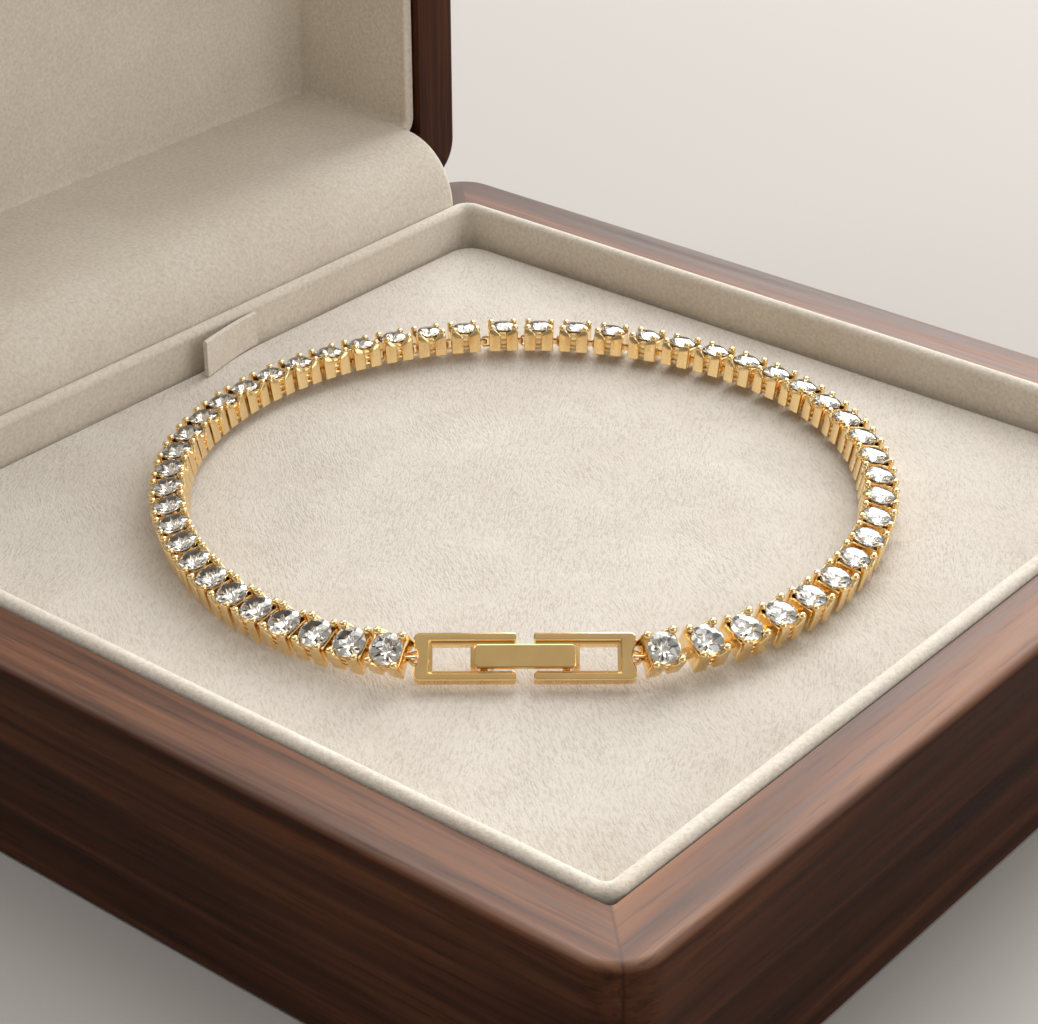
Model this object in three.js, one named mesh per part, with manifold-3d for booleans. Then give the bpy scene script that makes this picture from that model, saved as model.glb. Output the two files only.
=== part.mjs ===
// Tennis bracelet lying fastened on the pad of an open, lined wooden box. Millimetres, +Z up.
// The origin is the centre of the box's underside, +Y points to the hinge and -Y to the front.
import * as THREE from 'three';
import { mergeVertices } from 'three/addons/utils/BufferGeometryUtils.js';
import Module from 'manifold-3d';

const wasm = await Module();
wasm.setup();

// Gap that pieces keep where they touch
const seatGap = 0.3;

// Wooden box
const openingWidth = 83.8;
const woodWall = 5.6;
const cornerRadius = 4;
const openingCornerRadius = 0.6;
const edgeRound = 0.9;
const footRound = 0.5;
const baseHeight = 18.4;
const baseFloor = 3;
const lidHeight = 20.6;
const lidPanel = 3;
const lidRimGap = 0.3;

// Hinge: one plain barrel let into the back edges
const barrelRadius = 1;
const barrelLength = 60;

// Lining, pad and tab
const liningGap = 0.2;
const liningThickness = 1;
const liningCornerRadius = 1;
const rollRadius = 0.7;
const rollLift = 0.1;
const padDrop = 3.3;
const padCornerRadius = 3;
const padEdgeRound = 1.2;
const padUnderRound = 0.6;
const lidLiningSetback = 1.1;
const coverOverlap = 0.7;
const tabLength = 8;
const tabThickness = 0.9;
const tabBulge = 1.8;
const tabHeight = 3.2;
const tabStart = 1;

// Stones and their settings
const stoneDiameter = 2.6;
const tableShare = 0.56;
const crownHeight = 0.42;
const girdleHeight = 2.02;
const columnHeight = 1.9;
const prongHeight = 2.5;
const settingMarginLength = 0.05;
const settingMarginWidth = 0.2;
const slotWidth = 0.5;
const slotDepth = 0.5;
const columnRound = 0.4;
const prongInset = 0.3;

// Links: a lug with a hole on one side, a staple through the next link's lug on the other
const linkCount = 50;
const firstLinkGap = 0.4;
const lastLinkGap = 1;
const meetingSlack = 0.3;
const lugWidth = 0.84;
const lugThickness = 0.36;
const lugHoleRadius = 0.3;
const lugHeight = 0.65;
const lugClearance = 0.14;
const stapleWire = 0.2;
const jointOverlap = 0.04;
const joinDepth = 0.3;

// Clasp: two open frames and a tongue over their bars
const clasp = {
  frameLength: 7.75,
  frameWidth: 3.8,
  frameThickness: 1.2,
  frameGap: 1.3,
  armWidth: 0.65,
  ledgeWidth: 0.22,
  ledgeDrop: 0.35,
  endBar: 1.2,
  scallopRadius: 0.9,
  scallopOffset: 0.4,
  cornerRound: 0.3,
  tongueLength: 7.7,
  tongueWidth: 1.9,
  tongueThickness: 0.45,
  tongueRound: 0.35,
  barRadius: 0.3,
  barHeight: 0.42,
  barClearance: 0.15,
  legThickness: 0.3,
  legDrop: 0.3,
  legReach: 0.27,
  legInset: 0.1,
  eyeletRadius: 0.55,
  eyeletHole: 0.32,
  eyeletThickness: 0.4,
  eyeletReach: 0.4,
};
const claspSlip = 0.3;
const endGap = 0.7;

// Lie of the loop on the pad
const loopCentreX = 1.9;
const loopCentreY = 1.3;
const loopTurn = -50.5;
const frontShare = 1.05;
const backShare = 0.94;
const restLean = 12;
const claspLean = 40;
const leanReach = 7;
const claspLift = 0.42;

// Facets of the round shapes
const cornerSegments = 4;
const barrelSides = 12;
const rollSegments = 6;
const coverSegments = 5;
const outlineSegments = 4;
const lugSegments = 3;
const eyeletSegments = 6;
const barSides = 10;

// Fineness of the route and of merged corners
const routeDivisions = 400;
const bisectionSteps = 50;
const tangentStep = 1e-3;
const mergeTolerance = 1e-5;

// Worked out from the driving sizes
const halfOpening = openingWidth / 2;
const halfOuter = halfOpening + woodWall;
const rimZ = baseHeight;
const padTop = rimZ - padDrop;
const coverRise = woodWall + liningGap + liningThickness;
const linkLength = stoneDiameter + 2 * settingMarginLength;
const linkWidth = stoneDiameter + 2 * settingMarginWidth;
const claspLength = 2 * clasp.frameLength + clasp.frameGap;
const endStoneSpan = claspLength + 2 * endGap + linkLength;
const radians = THREE.MathUtils.degToRad;

const materials = {
  walnut: new THREE.MeshStandardMaterial({ color: 0x5a3322, roughness: 0.45, metalness: 0 }),
  velvet: new THREE.MeshStandardMaterial({ color: 0xe3d8c8, roughness: 0.95, metalness: 0 }),
  lining: new THREE.MeshStandardMaterial({ color: 0xd3c3ab, roughness: 0.9, metalness: 0 }),
  gold: new THREE.MeshStandardMaterial({ color: 0xd9a94e, roughness: 0.22, metalness: 1 }),
  stones: new THREE.MeshStandardMaterial({ color: 0xe6c98a, roughness: 0.15, metalness: 0.9 }),
  hinge: new THREE.MeshStandardMaterial({ color: 0xb08a4a, roughness: 0.35, metalness: 1 }),
};

// Geometry helpers

// A closed geometry as a manifold-3d solid
function toSolid(geometry) {
  const bare = geometry.clone();
  bare.deleteAttribute('normal');
  bare.deleteAttribute('uv');
  const merged = mergeVertices(bare, mergeTolerance);
  return new wasm.Manifold(new wasm.Mesh({
    numProp: 3,
    vertProperties: new Float32Array(merged.attributes.position.array),
    triVerts: new Uint32Array(merged.index.array),
  }));
}

// A manifold-3d solid as a geometry
function toGeometry(solid) {
  const mesh = solid.getMesh();
  const geometry = new THREE.BufferGeometry();
  geometry.setAttribute('position', new THREE.BufferAttribute(new Float32Array(mesh.vertProperties), 3));
  geometry.setIndex(new THREE.BufferAttribute(new Uint32Array(mesh.triVerts), 1));
  geometry.computeVertexNormals();
  return geometry;
}

function joined(geometries) {
  return geometries.map(toSolid).reduce((whole, next) => whole.add(next));
}

// A geometry from points and faces, faces with three or more corners
function fromFaces(points, faces) {
  const corners = [];
  for (const face of faces) {
    for (let i = 2; i < face.length; i += 1) {
      corners.push(face[0], face[i - 1], face[i]);
    }
  }
  const geometry = new THREE.BufferGeometry();
  geometry.setAttribute('position', new THREE.Float32BufferAttribute(points.flat(), 3));
  geometry.setIndex(corners);
  return geometry;
}

// Points of a square with rounded corners, counter-clockwise
function roundedSquare(half, radius, z) {
  const points = [];
  for (let corner = 0; corner < 4; corner += 1) {
    const turn = corner * Math.PI / 2;
    const middle = new THREE.Vector2(half - radius, half - radius).rotateAround(new THREE.Vector2(), turn);
    for (let step = 0; step <= cornerSegments; step += 1) {
      const angle = turn + (step / cornerSegments) * Math.PI / 2;
      points.push([middle.x + radius * Math.cos(angle), middle.y + radius * Math.sin(angle), z]);
    }
  }
  return points;
}

// A body skinned over rounded squares, given as [half width, corner radius, z] from the first
// flat end to the last one, or round a closed section when it is a ring
function squareLoft(levels, ring = false) {
  const rings = levels.map(([half, radius, z]) => roundedSquare(half, radius, z));
  const count = rings[0].length;
  const faces = [];
  const strips = ring ? rings.length : rings.length - 1;
  for (let level = 0; level < strips; level += 1) {
    const low = level * count;
    const high = ((level + 1) % rings.length) * count;
    for (let i = 0; i < count; i += 1) {
      const next = (i + 1) % count;
      faces.push([low + i, low + next, high + next, high + i]);
    }
  }
  if (!ring) {
    const last = (rings.length - 1) * count;
    faces.push(Array.from({ length: count }, (_, i) => count - 1 - i));
    faces.push(Array.from({ length: count }, (_, i) => last + i));
  }
  return fromFaces(rings.flat(), faces);
}

// The three levels that round an edge, from the side wall to the flat end at z. The flat end
// faces up when facing is 1 and down when it is -1.
function roundedEdge(half, corner, z, radius, facing) {
  const middle = 1 - Math.SQRT1_2;
  return [[0, 1], [middle, middle], [1, 0]].map(([inset, depth]) => [
    half - inset * radius, corner - inset * radius, z - facing * depth * radius,
  ]);
}

// A flat outline in X and Y, extruded from one height to another
function plate(shape, low, high, curveSegments = outlineSegments) {
  const geometry = new THREE.ExtrudeGeometry(shape, { depth: high - low, bevelEnabled: false, curveSegments });
  return geometry.translate(0, 0, low);
}

// An outline in the Y-Z plane, extruded along X
function prismAlongX(points, fromX, toX) {
  const shape = new THREE.Shape(points.map(([y, z]) => new THREE.Vector2(y, z)));
  const geometry = new THREE.ExtrudeGeometry(shape, { depth: toX - fromX, bevelEnabled: false });
  const frame = new THREE.Matrix4().makeBasis(
    new THREE.Vector3(0, 1, 0), new THREE.Vector3(0, 0, 1), new THREE.Vector3(1, 0, 0));
  return geometry.applyMatrix4(frame).translate(fromX, 0, 0);
}

function block(fromX, toX, fromY, toY, fromZ, toZ) {
  const box = new THREE.BoxGeometry(toX - fromX, toY - fromY, toZ - fromZ);
  return box.translate((fromX + toX) / 2, (fromY + toY) / 2, (fromZ + toZ) / 2);
}

function roundedRectangle(width, height, radius) {
  const x = width / 2;
  const y = height / 2;
  const shape = new THREE.Shape();
  shape.absarc(x - radius, y - radius, radius, 0, Math.PI / 2);
  shape.absarc(radius - x, y - radius, radius, Math.PI / 2, Math.PI);
  shape.absarc(radius - x, radius - y, radius, Math.PI, 1.5 * Math.PI);
  shape.absarc(x - radius, radius - y, radius, 1.5 * Math.PI, 2 * Math.PI);
  return shape;
}

function named(name, geometry, material) {
  const mesh = new THREE.Mesh(geometry, material);
  mesh.name = name;
  return mesh;
}

// Box

// The groove that a piece with its back edge on the hinge axis leaves for the barrel
function barrelGroove() {
  const groove = new THREE.CylinderGeometry(
    barrelRadius + seatGap, barrelRadius + seatGap, barrelLength + 2 * seatGap, barrelSides);
  return toSolid(groove.rotateZ(Math.PI / 2));
}

function makeBaseFrame() {
  const body = squareLoft([
    [halfOuter - footRound, cornerRadius - footRound, 0],
    [halfOuter, cornerRadius, footRound],
    ...roundedEdge(halfOuter, cornerRadius, rimZ, edgeRound, 1),
    [halfOpening, openingCornerRadius, rimZ],
    [halfOpening, openingCornerRadius, baseFloor],
  ]);
  return toGeometry(toSolid(body).subtract(barrelGroove().translate([0, halfOuter, rimZ])));
}

// Cloth on the four walls of the base, with a rolled edge along the rim
function makeBaseLining() {
  const outer = halfOpening - liningGap;
  const inner = outer - liningThickness;
  const rollMiddle = outer - rollRadius;
  const rollZ = rimZ - rollLift;
  const rollLevels = [];
  for (let step = 0; step <= rollSegments; step += 1) {
    const angle = (step / rollSegments) * Math.PI;
    const half = rollMiddle + rollRadius * Math.cos(angle);
    rollLevels.push([half, liningCornerRadius + half - inner, rollZ + rollRadius * Math.sin(angle)]);
  }
  const low = baseFloor + seatGap;
  const outerCorner = liningCornerRadius + liningThickness;
  return squareLoft([
    [inner, liningCornerRadius, low],
    [outer, outerCorner, low],
    ...rollLevels,
    [inner, liningCornerRadius, rollZ - rollRadius],
  ], true);
}

function makePad() {
  const half = halfOpening - liningGap - liningThickness - seatGap;
  const low = baseFloor + seatGap;
  return squareLoft([
    [half - padUnderRound, padCornerRadius - padUnderRound, low],
    [half, padCornerRadius, low + padUnderRound],
    ...roundedEdge(half, padCornerRadius, padTop, padEdgeRound, 1),
  ]);
}

// Folded cloth tab that stands on the pad against the back lining
function makePullTab() {
  const back = halfOpening - liningGap - 2 * rollRadius - seatGap;
  const front = back - tabThickness;
  const shape = new THREE.Shape();
  shape.moveTo(tabStart + tabLength, front);
  shape.lineTo(tabStart + tabLength, back);
  shape.lineTo(tabStart, back);
  shape.quadraticCurveTo(tabStart - tabThickness, front - tabBulge, tabStart + tabThickness, front - tabBulge);
  shape.quadraticCurveTo(tabStart + 2 * tabThickness, front - tabBulge / 2, tabStart + 3 * tabThickness, front);
  shape.closePath();
  return plate(shape, padTop + seatGap, padTop + seatGap + tabHeight);
}

// Padded cloth over the back rim, from the base's lining up to the lid's
function makeHingeCover() {
  const width = halfOpening - liningGap - liningThickness - seatGap;
  const foot = halfOpening + liningGap;
  const backWall = halfOuter + lidRimGap - seatGap;
  const clear = barrelRadius + 2 * seatGap;
  const overWall = woodWall + seatGap;
  const points = [
    [foot, rimZ + seatGap],
    [backWall - clear, rimZ + seatGap],
    [backWall, rimZ + clear],
    [backWall, rimZ + overWall],
    [backWall + coverOverlap, rimZ + overWall],
  ];
  const reach = backWall + coverOverlap - foot;
  for (let step = 0; step < coverSegments; step += 1) {
    const angle = (step / coverSegments) * Math.PI / 2;
    points.push([
      foot + reach * (1 - Math.sin(angle)),
      rimZ + seatGap + (coverRise - seatGap) * Math.cos(angle),
    ]);
  }
  return prismAlongX(points, -width, width);
}

// The lid's pieces are made closed, with the hinge axis as their X axis, and opened by their group
function lidLoft(levels, ring = false) {
  return squareLoft(levels, ring).translate(0, -halfOuter, 0);
}

function makeLidFrame() {
  const body = lidLoft([
    [halfOpening, openingCornerRadius, lidHeight - lidPanel],
    [halfOpening, openingCornerRadius, lidRimGap],
    ...roundedEdge(halfOuter, cornerRadius, lidRimGap, edgeRound, -1).reverse(),
    ...roundedEdge(halfOuter, cornerRadius, lidHeight, edgeRound, 1),
  ]);
  return toGeometry(toSolid(body).subtract(barrelGroove()));
}

function makeLidLining() {
  const outer = halfOpening - liningGap;
  const inner = outer - liningThickness;
  const outerCorner = liningCornerRadius + liningThickness;
  const ceiling = lidHeight - lidPanel - liningGap;
  return lidLoft([
    [inner, liningCornerRadius, ceiling - liningThickness],
    [inner, liningCornerRadius, lidLiningSetback],
    [outer, outerCorner, lidLiningSetback],
    [outer, outerCorner, ceiling],
  ]);
}

function makeHingeBarrel() {
  return new THREE.CylinderGeometry(barrelRadius, barrelRadius, barrelLength, barrelSides)
    .rotateZ(Math.PI / 2).translate(0, halfOuter, rimZ);
}

// Setting with its stone: four columns with pointed prongs, a slot on the outer and inner side
function makeSetting() {
  const halfX = linkLength / 2;
  const halfY = linkWidth / 2;
  const halfSlot = slotWidth / 2;
  const quarter = [
    [halfX, halfY - columnRound],
    [halfX - columnRound, halfY],
    [halfSlot, halfY],
    [halfSlot, halfY - slotDepth],
  ];
  const mirrored = (signX, signY) => quarter.map(([x, y]) => [signX * x, signY * y]);
  const outline = [
    ...mirrored(1, 1), ...mirrored(-1, 1).reverse(), ...mirrored(-1, -1), ...mirrored(1, -1).reverse(),
  ];
  const count = outline.length;
  const girdle = stoneDiameter / 2;
  const points = [];
  outline.forEach(([x, y]) => points.push([x, y, 0]));
  outline.forEach(([x, y]) => points.push([x, y, columnHeight]));
  for (let i = 0; i < count; i += 1) {
    const angle = (i + 0.5) * 2 * Math.PI / count;
    points.push([girdle * Math.cos(angle), girdle * Math.sin(angle), girdleHeight]);
  }
  const tableCount = count / 2;
  const tableRadius = girdle * tableShare;
  const tableHeight = girdleHeight + crownHeight;
  for (let i = 0; i < tableCount; i += 1) {
    const angle = (i + 0.5) * 2 * Math.PI / tableCount;
    points.push([tableRadius * Math.cos(angle), tableRadius * Math.sin(angle), tableHeight]);
  }
  const top = count;
  const edge = 2 * count;
  const table = 3 * count;
  const faces = [Array.from({ length: count }, (_, i) => count - 1 - i)];
  for (let i = 0; i < count; i += 1) {
    const next = (i + 1) % count;
    faces.push([i, next, top + next, top + i]);
  }
  // A prong over each column, and plain strips across the slots and the sides between columns
  const prong = points.length;
  const columnEdges = new Set();
  for (let corner = 0; corner < 4; corner += 1) {
    const first = corner * quarter.length + (corner % 2);
    columnEdges.add(first).add(first + 1);
    const peak = prong + corner;
    const signX = corner === 0 || corner === 3 ? 1 : -1;
    const signY = corner < 2 ? 1 : -1;
    points.push([signX * (halfX - prongInset), signY * (halfY - prongInset), prongHeight]);
    const [a, b, c] = [first, first + 1, first + 2];
    faces.push([top + a, top + b, peak], [top + b, top + c, peak], [top + c, edge + c, peak]);
    faces.push([edge + c, edge + b, peak], [edge + b, edge + a, peak], [edge + a, top + a, peak]);
  }
  for (let i = 0; i < count; i += 1) {
    const next = (i + 1) % count;
    if (!columnEdges.has(i)) {
      faces.push([top + i, top + next, edge + next, edge + i]);
    }
  }
  // Crown facets between the girdle's corners and the table's
  for (let i = 0; i < tableCount; i += 1) {
    const next = (i + 1) % tableCount;
    const low = edge + 2 * i;
    faces.push([low, low + 1, table + i]);
    faces.push([low + 1, edge + ((2 * i + 2) % count), table + next, table + i]);
  }
  faces.push(Array.from({ length: tableCount }, (_, i) => table + i));
  return fromFaces(points, faces);
}

// Lug of one link, seen from that link's end face at x = 0, reaching into the gap
function makeLug(gap) {
  const radius = lugWidth / 2;
  const middle = gap - lugClearance - radius;
  const shape = new THREE.Shape();
  shape.moveTo(-joinDepth - radius, -radius);
  shape.lineTo(middle, -radius);
  shape.absarc(middle, 0, radius, -Math.PI / 2, Math.PI / 2);
  shape.lineTo(-joinDepth - radius, radius);
  shape.closePath();
  const hole = new THREE.Path();
  hole.absarc(middle, 0, lugHoleRadius, 0, 2 * Math.PI);
  shape.holes.push(hole);
  return plate(shape, lugHeight - lugThickness / 2, lugHeight + lugThickness / 2, lugSegments);
}

// Staple of the next link: two arms and the pin between them, through a lug at the given x.
// It reaches past x by joinDepth, into the link that carries it.
function makeStaple(pinX, carrierX, middleHeight, plateThickness) {
  const half = stapleWire / 2;
  const inside = plateThickness / 2 + lugClearance;
  const outside = inside + stapleWire;
  const end = carrierX + joinDepth;
  const shape = new THREE.Shape([
    [pinX - half, -outside], [end, -outside], [end, -inside], [pinX + half, -inside],
    [pinX + half, inside], [end, inside], [end, outside], [pinX - half, outside],
  ].map(([x, z]) => new THREE.Vector2(x, z)));
  const geometry = new THREE.ExtrudeGeometry(shape, { depth: stapleWire, bevelEnabled: false });
  return geometry.rotateX(Math.PI / 2).translate(0, half, middleHeight);
}

// Route of the stones seen from above: clockwise from the clasp's left end to its right end

const gaps = Array.from({ length: linkCount - 1 }, (_, i) => {
  const slack = i === linkCount / 2 - 1 ? meetingSlack : 0;
  return THREE.MathUtils.lerp(firstLinkGap, lastLinkGap, i / (linkCount - 2)) + slack;
});
const chainLength = gaps.reduce((sum, gap) => sum + gap + linkLength, 0);

function routeOf(radius) {
  const claspAngle = Math.asin(endStoneSpan / 2 / radius);
  const front = radius * frontShare;
  const path = new THREE.CurvePath();
  path.add(new THREE.EllipseCurve(0, 0, radius, front, -Math.PI / 2 - claspAngle, -Math.PI, true));
  path.add(new THREE.EllipseCurve(0, 0, radius, radius * backShare, Math.PI, 0, true));
  path.add(new THREE.EllipseCurve(0, 0, radius, front, 0, claspAngle - Math.PI / 2, true));
  for (const curve of path.curves) {
    curve.arcLengthDivisions = routeDivisions;
  }
  return path;
}

// The radius at which the route is as long as the chain
function solveRadius() {
  let low = endStoneSpan / 2;
  let high = chainLength;
  for (let step = 0; step < bisectionSteps; step += 1) {
    const middle = (low + high) / 2;
    if (routeOf(middle).getLength() < chainLength) {
      low = middle;
    } else {
      high = middle;
    }
  }
  return (low + high) / 2;
}

const route = routeOf(solveRadius());

// Placement of a piece that leans outward: x along the route, y outward and z up through the stone
function leaningFrame(origin, along, lean) {
  const up = new THREE.Vector3(0, 0, 1);
  const outward = new THREE.Vector3().crossVectors(up, along);
  const normal = up.clone().multiplyScalar(Math.cos(lean)).addScaledVector(outward, Math.sin(lean));
  const across = outward.multiplyScalar(Math.cos(lean)).addScaledVector(up, -Math.sin(lean));
  return new THREE.Matrix4().makeBasis(along, across, normal).setPosition(origin);
}

function linkFrame(distance) {
  const share = Math.min(1, distance / chainLength);
  const point = route.getPoint(share);
  const ahead = route.getPoint(Math.min(1, share + tangentStep));
  const behind = route.getPoint(Math.max(0, share - tangentStep));
  const along = new THREE.Vector3(ahead.x - behind.x, ahead.y - behind.y, 0).normalize();
  const fromEnd = Math.min(distance, chainLength - distance);
  const nearClasp = Math.exp(-fromEnd / leanReach);
  const lean = radians(restLean + (claspLean - restLean) * nearClasp);
  const outward = new THREE.Vector3(-along.y, along.x, 0);
  const origin = new THREE.Vector3(point.x, point.y, 0).addScaledVector(outward, -girdleHeight * Math.sin(lean));
  origin.z = padTop + seatGap + (linkWidth / 2) * Math.sin(lean) + claspLift * nearClasp;
  return leaningFrame(origin, along, lean);
}

const linkFrames = [];
let distanceAlong = 0;
for (let i = 0; i < linkCount; i += 1) {
  linkFrames.push(linkFrame(distanceAlong));
  distanceAlong += (gaps[i] ?? 0) + linkLength;
}

// Clasp: x from its left end to its right end, y inward and up, z out of its face
function claspPlacement() {
  const lean = radians(claspLean);
  const halfWidth = clasp.frameWidth / 2;
  const first = new THREE.Vector3().setFromMatrixPosition(linkFrames[0]);
  const last = new THREE.Vector3().setFromMatrixPosition(linkFrames[linkCount - 1]);
  const along = last.clone().sub(first).setZ(0).normalize();
  const inward = new THREE.Vector3(-along.y, along.x, 0);
  const height = lugHeight - clasp.frameThickness / 2;
  const origin = first.clone().add(last).multiplyScalar(0.5);
  origin.addScaledVector(inward, -claspSlip * Math.cos(lean) - height * Math.sin(lean));
  origin.z = padTop + seatGap + halfWidth * Math.sin(lean);
  return leaningFrame(origin, along.negate(), lean).multiply(new THREE.Matrix4().makeRotationZ(Math.PI));
}

const claspFrame = claspPlacement();

function claspPieces() {
  const halfWidth = clasp.frameWidth / 2;
  const end = -claspLength / 2;
  const open = end + clasp.frameLength;
  const barX = -clasp.tongueLength / 2 + clasp.legThickness + clasp.barClearance + clasp.barRadius;
  const eyeletX = end + clasp.eyeletRadius - clasp.eyeletReach;
  return { halfWidth, end, open, barX, eyeletX };
}

// Outline of one frame: an end bar with a scallop and two arms, open towards the other frame
function frameOutline(innerHalf, innerEnd) {
  const { halfWidth, end, open } = claspPieces();
  const bite = Math.acos(clasp.scallopOffset / clasp.scallopRadius);
  const round = clasp.cornerRound;
  const shape = new THREE.Shape();
  shape.moveTo(open, -halfWidth);
  shape.lineTo(open, -innerHalf);
  shape.lineTo(innerEnd, -innerHalf);
  shape.lineTo(innerEnd, innerHalf);
  shape.lineTo(open, innerHalf);
  shape.lineTo(open, halfWidth);
  shape.absarc(end + round, halfWidth - round, round, Math.PI / 2, Math.PI);
  shape.absarc(end - clasp.scallopOffset, 0, clasp.scallopRadius, bite, -bite, true);
  shape.absarc(end + round, round - halfWidth, round, Math.PI, 1.5 * Math.PI);
  shape.closePath();
  return shape;
}

function makeClaspFrame(tongueSide) {
  const { halfWidth, end, barX, eyeletX } = claspPieces();
  const rimInner = halfWidth - clasp.armWidth;
  const ledgeInner = rimInner - clasp.ledgeWidth;
  const rimEnd = end + clasp.endBar;
  const middle = clasp.frameThickness / 2;
  const rim = plate(frameOutline(rimInner, rimEnd), 0, clasp.frameThickness);
  const ledge = plate(
    frameOutline(ledgeInner, rimEnd + clasp.ledgeWidth), 0, clasp.frameThickness - clasp.ledgeDrop);
  const bar = new THREE.CylinderGeometry(clasp.barRadius, clasp.barRadius, 2 * rimInner, barSides)
    .translate(barX, 0, clasp.barHeight);
  const ring = new THREE.Shape();
  ring.absarc(eyeletX, 0, clasp.eyeletRadius, 0, 2 * Math.PI);
  const hole = new THREE.Path();
  hole.absarc(eyeletX, 0, clasp.eyeletHole, 0, 2 * Math.PI);
  ring.holes.push(hole);
  const halfEyelet = clasp.eyeletThickness / 2;
  const eyelet = plate(ring, middle - halfEyelet, middle + halfEyelet, eyeletSegments);
  const whole = joined([rim, ledge, bar, eyelet]);
  return toGeometry(tongueSide ? whole : whole.mirror([1, 0, 0]));
}

// Tongue: a plate over both bars. An end leg outside each bar stands out past the plate, and an
// inner leg holds the bar that the tongue turns on from its other side.
function makeClaspTongue() {
  const { barX } = claspPieces();
  const plateLow = clasp.barHeight + clasp.barRadius + clasp.barClearance;
  const legLow = clasp.barHeight - clasp.legDrop;
  const legHigh = plateLow + clasp.tongueThickness / 2;
  const halfLeg = clasp.tongueWidth / 2 - clasp.legInset;
  const offset = clasp.barRadius + clasp.barClearance;
  const legEnd = clasp.tongueLength / 2 + clasp.legReach;
  const face = plate(
    roundedRectangle(clasp.tongueLength, clasp.tongueWidth, clasp.tongueRound),
    plateLow, plateLow + clasp.tongueThickness);
  const leg = (fromX, toX) => block(fromX, toX, -halfLeg, halfLeg, legLow, legHigh);
  return toGeometry(joined([
    face,
    leg(-legEnd, barX - offset),
    leg(barX + offset, barX + offset + clasp.legThickness),
    leg(-barX + offset, legEnd),
  ]));
}

// Links: settings, the lug and staple at each gap, and the staple that holds the clasp's eyelet
function makeLinkRun(firstLink, lastLink, claspSide) {
  const setting = toSolid(makeSetting());
  const placed = (solid, matrix) => solid.transform(matrix.elements);
  const parts = [];
  const pinShift = lugHoleRadius - stapleWire / 2 + jointOverlap;
  const endFace = new THREE.Matrix4().makeTranslation(linkLength / 2, 0, 0);
  const endFrame = (i) => linkFrames[i].clone().multiply(endFace);
  for (let i = firstLink; i <= lastLink; i += 1) {
    parts.push(placed(setting, linkFrames[i]));
    if (i < linkCount - 1) {
      parts.push(placed(toSolid(makeLug(gaps[i])), endFrame(i)));
    }
    if (i > 0) {
      // The first staple of the second run hangs free in the lug of the first run
      const gap = gaps[i - 1];
      const loose = i === firstLink;
      const pinX = gap - lugClearance - lugWidth / 2 + (loose ? 0 : pinShift);
      parts.push(placed(toSolid(makeStaple(pinX, gap, lugHeight, lugThickness)), endFrame(i - 1)));
    }
  }
  const { eyeletX, end } = claspPieces();
  const hook = toSolid(makeStaple(
    -eyeletX, -end + endGap, clasp.frameThickness / 2, clasp.eyeletThickness));
  const side = claspSide === 'left' ? hook.mirror([1, 0, 0]) : hook;
  parts.push(placed(side, claspFrame));
  return toGeometry(wasm.Manifold.union(parts));
}

// Assembly

const object = new THREE.Group();

object.add(named('base_frame', makeBaseFrame(), materials.walnut));
object.add(named('base_lining', makeBaseLining(), materials.lining));
object.add(named('pad', makePad(), materials.velvet));
object.add(named('pull_tab', makePullTab(), materials.lining));
object.add(named('hinge_cover', makeHingeCover(), materials.lining));
object.add(named('hinge_barrel', makeHingeBarrel(), materials.hinge));

const lid = new THREE.Group();
lid.position.set(0, halfOuter, rimZ);
lid.rotation.x = -Math.PI / 2;
lid.add(named('lid_frame', makeLidFrame(), materials.walnut));
lid.add(named('lid_lining', makeLidLining(), materials.lining));
object.add(lid);

const bracelet = new THREE.Group();
bracelet.position.set(loopCentreX, loopCentreY, 0);
bracelet.rotation.z = radians(loopTurn);
const halfCount = linkCount / 2;
bracelet.add(named('link_run_left', makeLinkRun(0, halfCount - 1, 'left'), materials.stones));
bracelet.add(named('link_run_right', makeLinkRun(halfCount, linkCount - 1, 'right'), materials.stones));

const claspGroup = new THREE.Group();
claspGroup.applyMatrix4(claspFrame);
claspGroup.add(named('clasp_frame_left', makeClaspFrame(true), materials.gold));
claspGroup.add(named('clasp_frame_right', makeClaspFrame(false), materials.gold));
claspGroup.add(named('clasp_tongue', makeClaspTongue(), materials.gold));
bracelet.add(claspGroup);
object.add(bracelet);

export default object;
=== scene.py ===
"""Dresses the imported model: a line bracelet with its clasp, lying in an open, lined wooden box.

Sizes are in millimetres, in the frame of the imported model, and become metres in new_object().
"""
import math

import bmesh
import bpy
import numpy as np
from mathutils import Matrix, Vector


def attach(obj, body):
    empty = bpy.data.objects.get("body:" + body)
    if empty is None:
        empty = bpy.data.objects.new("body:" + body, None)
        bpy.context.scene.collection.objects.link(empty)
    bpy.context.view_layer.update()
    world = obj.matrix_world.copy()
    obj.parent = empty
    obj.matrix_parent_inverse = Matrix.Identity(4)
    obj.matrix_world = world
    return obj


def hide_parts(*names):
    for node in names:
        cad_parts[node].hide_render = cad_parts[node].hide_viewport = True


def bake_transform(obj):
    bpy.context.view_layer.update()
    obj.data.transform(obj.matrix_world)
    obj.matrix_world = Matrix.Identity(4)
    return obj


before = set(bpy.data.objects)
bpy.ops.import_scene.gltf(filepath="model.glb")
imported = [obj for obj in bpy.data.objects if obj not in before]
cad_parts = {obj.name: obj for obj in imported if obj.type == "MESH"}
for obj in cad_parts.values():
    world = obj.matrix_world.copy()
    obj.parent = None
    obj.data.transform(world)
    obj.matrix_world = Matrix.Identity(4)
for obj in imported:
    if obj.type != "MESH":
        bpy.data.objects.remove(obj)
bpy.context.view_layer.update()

MM = 0.001

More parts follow.
